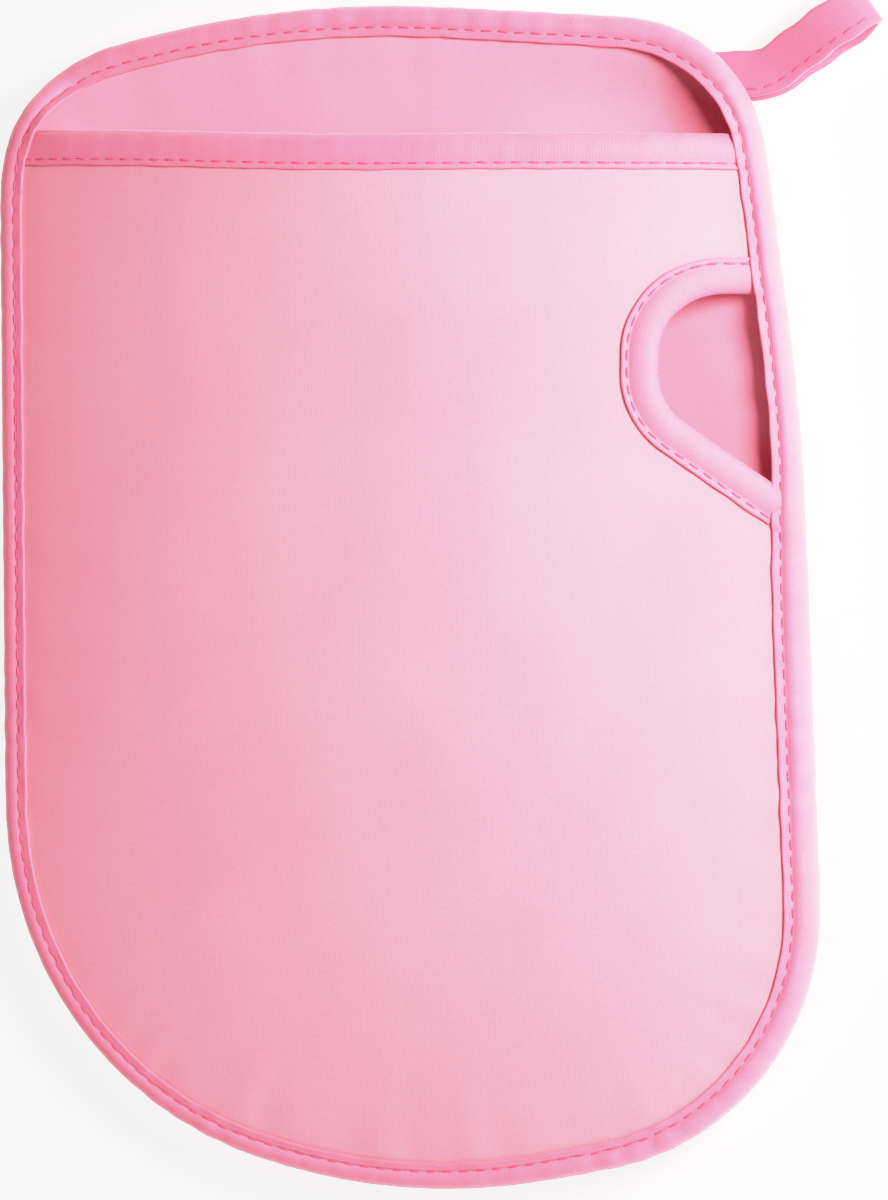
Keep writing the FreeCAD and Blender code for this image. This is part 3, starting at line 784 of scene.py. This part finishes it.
# ---------------------------------------------------------------- the mitt

def stands_for(item, slot, *nodes):
    """The piece takes the place of CAD nodes, which it hides; its slot is not used."""
    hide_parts(*nodes)
    return item


back_cut, front_cut = cut_cloth(back_blank), cut_cloth(front_blank)
levels = [(LINING, 0), (FOAM, LINING + LAYER_GAP), (FACE, LINING + FOAM + 2 * LAYER_GAP)]
named = [
    ("lining", lining_cloth, "lining_cloth"),
    ("foam", foam, "foam"),
    ("face", face_cloth, "face_cloth"),
]
panel = {}
for side, cloth_cut, under in (("front", front_cut, front_under), ("back", back_cut, back_under)):
    for (thick, low), (part, material, slot) in zip(levels, named):
        if side == "back":
            low = STACK - low - thick
        node = f"{side}_{part}"
        cloth = layer(node + "_cloth", cloth_cut, under, low, thick, material)
        panel[node] = stands_for(cloth, slot, node)

# The edge tape shows widest on the right, though less beside and above the thumb opening, and
# narrowest on the left, where its roll is also flatter.
rim_inward_x, rim_inward_y = outline_inward[:, 0], outline_inward[:, 1]
edge_width = (5.2 - 0.55 * rim_inward_x - 0.35 * rim_inward_y - 0.1 * rim_inward_y ** 2) * MM
beside_thumb = step_up(outline[:, 1], 0, 35 * MM) * step_up(-rim_inward_x, 0.6, 0.95)
edge_width = blur(edge_width - 1.2 * MM * beside_thumb, 6)
edge_ridge = blur((0.50 - 0.32 * np.maximum(rim_inward_x, 0)) * MM, 6)
edge_tape, edge_over, edge_below = folded_tape(
    "edge_binding_tape", outline, True, edge_width, FLANGE, edge_ridge, (edge_top, back_bottom), 31)
stands_for(edge_tape, "binding_tape", "edge_binding")


def within_rim(line, inset):
    """The part of a line that lies inside the outline by at least an inset."""
    return line[signed(line, outline) > inset]


mouth_x = np.linspace(rim_high.x, rim_low.x, 200)
mouth_line = resample(np.column_stack([mouth_x, mouth_level(mouth_x)]), TAPE_STEP, False)
rows = [("edge", edge_over, edge_below, True)]
for name, whole_line, seed in (("mouth", mouth_line, 41), ("thumb", notch_line, 51)):
    line = within_rim(whole_line, HEM_END)
    tape, over, below = folded_tape(
        name + "_binding_tape", line, False, np.full(len(line), HEM_WIDTH), HEM_FLANGE, HEM_RIDGE,
        (front_top, front_bottom), seed, uneven=0.5)
    stands_for(tape, "binding_tape", name + "_binding")
    rows.append((name, over, below, False))

for name, over, below, closed in rows:
    for kind, line, up in (("needle", over, (0, 0, 1)), ("bobbin", below, (0, 0, -1))):
        row = stitches(f"{name}_{kind}_stitches", line, up, closed=closed)
        stands_for(row, "thread", f"{name}_seam_{kind}_thread")


# ---------------------------------------------------------------- hanging loop

hinge = Vector(frame["joints"][0]["pos_m"])


def loop_plan(reach):
    """Plan path of the loop's middle line: out along +X, then round to the loop's own heading."""
    spans = np.linspace(-LOOP_ROOT, LOOP_REACH + 6 * MM, 400)
    heading = LOOP_TURN * step_up(spans, LOOP_TURN_FROM, LOOP_TURN_TO)
    step = spans[1] - spans[0]
    x = np.cumsum(np.cos(heading)) * step
    y = np.cumsum(np.sin(heading)) * step
    x += hinge.x - np.interp(0, spans, x)
    y += hinge.y - np.interp(0, spans, y) - LOOP_DROP
    return np.interp(reach, spans, x), np.interp(reach, spans, y), np.interp(reach, spans, heading)


def loop_middle(share):
    """How far out and how high the folded tape's middle line is, from one sewn end to the other."""
    tip = LOOP_REACH - LOOP_TAPE / 2
    side = np.sign(share - 0.5)                        # -1 on the lower leg, 1 on the upper
    out = np.abs(share - 0.5) * 2                      # 0 at the tip, 1 at either sewn end
    reach = tip - (tip + LOOP_ROOT) * out ** 1.35
    from_tip = np.clip((tip - reach) / (9 * MM), 0, 1)
    to_root = step_up(reach, 3 * MM, 19 * MM)
    belly = LOOP_BELLY * np.sqrt(1 - (1 - from_tip) ** 2.4) * (0.26 + 0.74 * to_root)
    touching = (LOOP_TAPE / 2 + 0.04 * MM) * np.minimum(1, np.sqrt(from_tip * 6))
    legs = np.maximum(belly, touching)
    droop = np.where(side < 0, 1.0, 0.9)
    return reach, side * legs * droop


LOOP_STATIONS = 150
LEG_SHIFT = 0.35 * MM        # the two legs don't lie quite edge on edge
share = np.linspace(0, 1, LOOP_STATIONS)
reach, offset = loop_middle(share)
plan_x, plan_y, heading = loop_plan(reach)
height = hinge.z + np.maximum(reach, 0) * math.tan(LOOP_TILT) + offset
middle = np.stack([plan_x, plan_y, height], axis=1)
middle[:, 2] = blur(middle[:, 2], 1.2, False)
across = np.stack([-np.sin(heading), np.cos(heading), np.zeros(LOOP_STATIONS)], axis=1)
run = np.gradient(middle, axis=0)
run /= np.linalg.norm(run, axis=1)[:, None]
outward = np.cross(run, across)
outward /= np.linalg.norm(outward, axis=1)[:, None]

# Cross-section of the tape: flat faces, soft selvedges that are a little thicker.
FLAT_PART = 0.94             # share of the half width that is flat; the rest is rounded off
half_width, half_thick = LOOP_WIDTH / 2, LOOP_TAPE / 2
section = []
for side in (1, -1):
    for place in np.linspace(-FLAT_PART, FLAT_PART, 13):
        bead = 1 + 0.10 * math.exp(-((abs(place) - 0.88) / 0.07) ** 2)
        section.append((side * place * half_width, side * half_thick * bead))
    for angle in (50, 15, -15, -50):
        turned = math.radians(angle)
        rounded = FLAT_PART + (1 - FLAT_PART) * math.cos(turned)
        section.append((side * half_width * rounded, side * half_thick * math.sin(turned)))
section = np.array(section)
edge_wave = 0.10 * MM * ripple(LOOP_REACH * 2, 11 * MM, 61)(np.abs(reach))
side_shift = np.where(share < 0.5, -LEG_SHIFT, LEG_SHIFT) * step_up(np.abs(share - 0.5), 0, 0.1)
shifts = section[None, :, 0] + (edge_wave + side_shift)[:, None]
rings = middle[:, None] + shifts[..., None] * across[:, None] + section[None, :, 1:] * outward[:, None]
loop_along = np.concatenate([[0], np.cumsum(np.linalg.norm(np.diff(middle, axis=0), axis=1))])
loop_ribbon = sweep("loop_ribbon", rings, False, loop_tape, loop_along, body=None)
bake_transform(loop_ribbon)
stands_for(loop_ribbon, "loop_tape", "hanging_loop", "loop_tab")

# A row of stitches along the lower edge of both legs, and the tack across the loop's sewn ends.
for name, leg, up in (("lower", share < 0.5, (0, 0, -1)), ("upper", share >= 0.5, (0, 0, 1))):
    spots = np.flatnonzero(leg & (reach > LOOP_ROW_FROM) & (reach < LOOP_ROW_TO))
    away = outward[spots] * np.sign((outward[spots] @ [0, 0, 1]) * offset[spots])[:, None]
    line = middle[spots] + across[spots] * (LOOP_ROW_INSET - half_width) + away * half_thick
    row = stitches(f"loop_{name}_stitches", line[np.argsort(line[:, 0])], up, body=None)
    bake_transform(row)
    stands_for(row, "thread", "loop_stitching")

tack_x, tack_y, _ = loop_plan(-3.5 * MM)
tack_half = half_width - 0.8 * MM
tack_level = hinge.z - LOOP_TAPE - 0.04 * MM
tack_line = np.array([(tack_x, tack_y + end * tack_half, tack_level) for end in (-1, 1)])
tack = stitches("loop_tack", tack_line, (0, 0, -1), TACK_PITCH)
stands_for(tack, "thread", "loop_tack_stitches")


# ---------------------------------------------------------------- a pass over the panels that does nothing

for node, item in panel.items():
    side, part = node.split("_")
    if part == "foam":
        continue


# ---------------------------------------------------------------- floor, light and camera

def paper_white(name, glow):
    """Matt white with a glow of its own, so that the floor stays white beside the mitt."""
    material, _, shader = new_material(name)
    shader.inputs["Base Color"].default_value = (0.93, 0.93, 0.93, 1)
    shader.inputs["Roughness"].default_value = 0.9
    shader.inputs["Emission Color"].default_value = (1, 1, 1, 1)
    shader.inputs["Emission Strength"].default_value = glow
    return material


def lamp(name, azimuth, elevation, distance, size, power, colour):
    """A square area light that faces the mitt, at angles in degrees."""
    data = bpy.data.lights.new(name, "AREA")
    data.shape = "SQUARE"
    data.size = size
    data.energy = power
    data.color = colour
    item = bpy.data.objects.new(name, data)
    bpy.context.scene.collection.objects.link(item)
    turn, rise = math.radians(azimuth), math.radians(elevation)
    level = math.cos(rise)
    item.location = distance * Vector((math.cos(turn) * level, math.sin(turn) * level, math.sin(rise)))
    item.rotation_euler = (-item.location).to_track_quat("-Z", "Y").to_euler()
    return item


SPOKES = 96


def sweep_round(name, profile, material):
    """Surface of revolution about Z through points (radius, height), closed at the middle."""
    angles = np.arange(SPOKES) * 2 * math.pi / SPOKES
    points = np.array([(radius * math.cos(angle), radius * math.sin(angle), level)
                       for radius, level in profile for angle in angles])
    spoke = np.arange(SPOKES)
    after = (spoke + 1) % SPOKES
    faces = [spoke.tolist()]
    for here in range(0, SPOKES * (len(profile) - 1), SPOKES):
        outer = here + SPOKES
        faces += np.stack([here + spoke, outer + spoke, outer + after, here + after], axis=1).tolist()
    return piece(name, points, faces, material, body=None)


# The floor is level round the mitt and turns up into a low white backdrop far outside it.
FLOOR_RADIUS = 2.6
BACKDROP = 0.5
floor_profile = [(0.5, 0), (1.5, 0)]
for rise in np.radians(np.arange(0, 91, 7.5)):
    floor_profile.append((FLOOR_RADIUS + BACKDROP * math.sin(rise), BACKDROP * (1 - math.cos(rise))))
floor = sweep_round("floor", floor_profile, paper_white("floor", 1.2))

lamp("key", 22, 45, 0.6, 0.2, 9.3, (1.0, 1.0, 0.98))
lamp("fill", 282, 36, 0.75, 0.5, 2.6, (1.0, 1.0, 1.0))
world = bpy.data.worlds.new("studio")
world.use_nodes = True
world.node_tree.nodes["Background"].inputs["Color"].default_value = (1, 0.98, 0.985, 1)
world.node_tree.nodes["Background"].inputs["Strength"].default_value = 0.10
bpy.context.scene.world = world

# The picture's tones: true up to mid grey, with a soft shoulder that keeps the brightest pinks pale.
TONES = [(0.6, 0.6), (0.8, 0.75), (1.0, 0.83), (1.4, 0.88), (2.0, 0.905), (2.6, 0.93), (3.4, 0.97)]
BRIGHTEST = 4.2
look = bpy.context.scene.view_settings
look.view_transform = "Standard"
look.use_curve_mapping = True
look.curve_mapping.white_level = (BRIGHTEST,) * 3
for light, shown in TONES:
    look.curve_mapping.curves[3].points.new(light / BRIGHTEST, shown)
for point in look.curve_mapping.curves[3].points:
    point.handle_type = "VECTOR"
look.curve_mapping.update()

VIEW_HEIGHT = 220.0 * MM     # of the subject, from the bottom to the top of the view
VIEW_DISTANCE = 1.5
VIEW_TILT = math.radians(12)
VIEW_AIM = Vector((6.8 * MM, 0.4 * MM, SEAM_Z))
camera_data = bpy.data.cameras.new("camera")
camera = bpy.data.objects.new("camera", camera_data)
bpy.context.scene.collection.objects.link(camera)
camera_data.sensor_fit = "VERTICAL"
camera_data.lens = camera_data.sensor_height * VIEW_DISTANCE / VIEW_HEIGHT
camera.location = VIEW_AIM + VIEW_DISTANCE * Vector((math.sin(VIEW_TILT), 0, math.cos(VIEW_TILT)))
camera.rotation_euler = (0, VIEW_TILT, 0)
bpy.context.scene.camera = camera

bpy.context.view_layer.update()
